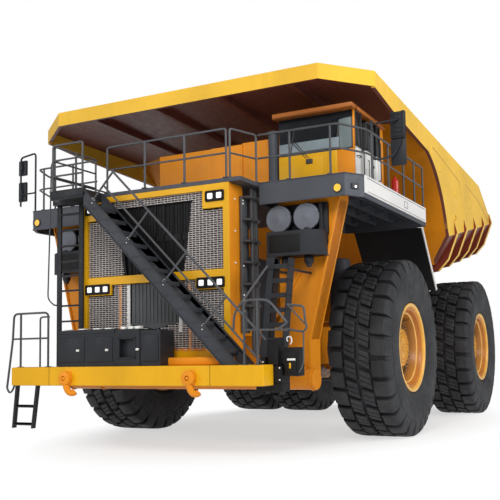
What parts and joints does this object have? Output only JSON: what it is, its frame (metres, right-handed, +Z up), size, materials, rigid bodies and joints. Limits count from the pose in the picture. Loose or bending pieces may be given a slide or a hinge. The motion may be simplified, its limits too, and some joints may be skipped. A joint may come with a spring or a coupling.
{
  "type": "mining dump truck",
  "caption": "Rigid mining haul truck with a tall radiator front, deck and side cab, twin rear wheels and a tipping load bed with a canopy over the deck",
  "frame": {"origin": "On the ground, midway between the foremost and rearmost points and on the truck's plane of symmetry", "axes": "+X to the truck's left (cab side), +Y to the rear, +Z up"},
  "size_m": [8.84, 15.11, 7.1999],
  "materials": {
    "rubber_tyre": "matt",
    "yellow_paint": "satin",
    "orange_paint": "satin",
    "pale_yellow_paint": "satin",
    "white_paint": "satin",
    "dark_grey_paint": "satin",
    "black_metal": "matt",
    "silver_mesh": "satin",
    "chromed_steel": "polished",
    "clear_glass": "clear",
    "lamp_lens": "clear",
    "amber_lens": "gloss",
    "black_fabric": "woven",
    "dark_plastic": "matt"
  },
  "bodies": {
    "chassis": {"air_cleaners": "dark_grey_paint", "boarding_ladder": "dark_grey_paint", "bumper": "yellow_paint", "bumper_rails": "dark_grey_paint", "cab_glass": "clear_glass", "cab_shell": "white_paint", "control_cabinet": "orange_paint", "deck_centre": "dark_grey_paint", "deck_railings": "dark_grey_paint", "deck_side_panels": "white_paint", "deck_stack": "dark_grey_paint", "driver_console": "dark_plastic", "driver_seat": "black_fabric", "engine_block": "dark_grey_paint", "equipment_box": "dark_grey_paint", "front_collar": "orange_paint", "front_stair": "dark_grey_paint", "grille_lamps": "lamp_lens", "guard_grille": "silver_mesh", "low_steps": "dark_grey_paint", "main_frame": "orange_paint", "marker_lamps": "amber_lens", "mirrors": "dark_grey_paint", "mudguards": "black_metal", "radiator_core": "black_metal", "radiator_frame": "yellow_paint", "rear_axle_housing": "orange_paint", "right_platform": "dark_grey_paint", "side_decks": "dark_grey_paint", "side_tanks": "orange_paint", "stair_rails": "dark_grey_paint", "suspension_struts": "dark_grey_paint", "tow_lugs": "orange_paint"},
    "left_knuckle": {"left_knuckle": "dark_grey_paint"},
    "right_knuckle": {"right_knuckle": "dark_grey_paint"},
    "tie_rod": {"tie_rod": "dark_grey_paint"},
    "front_left_wheel": {"front_left_rim": "orange_paint", "front_left_tyre": "rubber_tyre"},
    "front_right_wheel": {"front_right_rim": "orange_paint", "front_right_tyre": "rubber_tyre"},
    "rear_left_wheels": {"rear_left_rim": "orange_paint", "rear_left_tyres": "rubber_tyre"},
    "rear_right_wheels": {"rear_right_rim": "orange_paint", "rear_right_tyres": "rubber_tyre"},
    "bed": {"bed_floor": "pale_yellow_paint", "bed_sills": "pale_yellow_paint", "bed_ribs": "pale_yellow_paint", "bed_left_side": "pale_yellow_paint", "bed_right_side": "pale_yellow_paint", "bed_front_wall": "orange_paint", "bed_canopy": "pale_yellow_paint"},
    "left_hoist_barrel": {"left_hoist_barrel": "dark_grey_paint"},
    "left_hoist_sleeve": {"left_hoist_sleeve": "dark_grey_paint"},
    "left_hoist_rod": {"left_hoist_rod": "chromed_steel"},
    "right_hoist_barrel": {"right_hoist_barrel": "dark_grey_paint"},
    "right_hoist_sleeve": {"right_hoist_sleeve": "dark_grey_paint"},
    "right_hoist_rod": {"right_hoist_rod": "chromed_steel"},
    "cab_door": {"cab_door": "pale_yellow_paint", "door_glass": "clear_glass"},
    "box_lid": {"box_lid": "dark_grey_paint"}
  },
  "joints": [
    {"name": "body_tip", "type": "hinge", "parent": "chassis", "child": "bed", "pos_m": [0, 4.845, 3], "axis": [-1, 0, 0], "range_deg": [0, 45]},
    {"name": "steer_left", "type": "hinge", "parent": "chassis", "child": "left_knuckle", "pos_m": [2.15, -2.555, 1.89], "axis": [0, 0, 1], "range_deg": [-35, 35]},
    {"name": "steer_right", "type": "hinge", "parent": "chassis", "child": "right_knuckle", "pos_m": [-2.15, -2.555, 1.89], "axis": [0, 0, 1], "range_deg": [-35, 35]},
    {"name": "tie_rod_turn", "type": "hinge", "parent": "left_knuckle", "child": "tie_rod", "pos_m": [2.15, -1.805, 1.29], "axis": [0, 0, 1], "range_deg": [-35.5, 35.5]},
    {"name": "front_left_spin", "type": "hinge", "parent": "left_knuckle", "child": "front_left_wheel", "pos_m": [3.22, -2.555, 1.89], "axis": [1, 0, 0], "continuous": true},
    {"name": "front_right_spin", "type": "hinge", "parent": "right_knuckle", "child": "front_right_wheel", "pos_m": [-3.22, -2.555, 1.89], "axis": [1, 0, 0], "continuous": true},
    {"name": "rear_left_spin", "type": "hinge", "parent": "chassis", "child": "rear_left_wheels", "pos_m": [2.4675, 3.795, 1.89], "axis": [1, 0, 0], "continuous": true},
    {"name": "rear_right_spin", "type": "hinge", "parent": "chassis", "child": "rear_right_wheels", "pos_m": [-2.4675, 3.795, 1.89], "axis": [1, 0, 0], "continuous": true},
    {"name": "left_hoist_swing", "type": "hinge", "parent": "chassis", "child": "left_hoist_barrel", "pos_m": [1.15, 1.195, 1.7], "axis": [-1, 0, 0], "range_deg": [-0.5, 19.5]},
    {"name": "left_sleeve_slide", "type": "slide", "parent": "left_hoist_barrel", "child": "left_hoist_sleeve", "axis": [0, 0.0712, 0.9975], "range_m": [-0.01, 1.34]},
    {"name": "left_rod_slide", "type": "slide", "parent": "left_hoist_sleeve", "child": "left_hoist_rod", "axis": [0, 0.0712, 0.9975], "range_m": [-0.01, 1.34]},
    {"name": "right_hoist_swing", "type": "hinge", "parent": "chassis", "child": "right_hoist_barrel", "pos_m": [-1.15, 1.195, 1.7], "axis": [-1, 0, 0], "range_deg": [-0.5, 19.5]},
    {"name": "right_sleeve_slide", "type": "slide", "parent": "right_hoist_barrel", "child": "right_hoist_sleeve", "axis": [0, 0.0712, 0.9975], "range_m": [-0.01, 1.34]},
    {"name": "right_rod_slide", "type": "slide", "parent": "right_hoist_sleeve", "child": "right_hoist_rod", "axis": [0, 0.0712, 0.9975], "range_m": [-0.01, 1.34]},
    {"name": "cab_door_swing", "type": "hinge", "parent": "chassis", "child": "cab_door", "pos_m": [3.394, -4.441, 5.725], "axis": [0, 0, -1], "range_deg": [0, 50]},
    {"name": "box_lid_swing", "type": "hinge", "parent": "chassis", "child": "box_lid", "pos_m": [-1.03, -6.843, 2.285], "axis": [-1, 0, 0], "range_deg": [0, 75]}
  ],
  "couplings": [
    {"joint": "steer_right", "follows": "steer_left", "ratio": 1},
    {"joint": "tie_rod_turn", "follows": "steer_left", "ratio": -1},
    {"joint": "left_hoist_swing", "follows": "body_tip", "ratio": 0.3854},
    {"joint": "left_sleeve_slide", "follows": "body_tip", "m_per_rad": 1.6673},
    {"joint": "left_rod_slide", "follows": "body_tip", "m_per_rad": 1.6673},
    {"joint": "right_hoist_swing", "follows": "body_tip", "ratio": 0.3854},
    {"joint": "right_sleeve_slide", "follows": "body_tip", "m_per_rad": 1.6673},
    {"joint": "right_rod_slide", "follows": "body_tip", "m_per_rad": 1.6673}
  ]
}
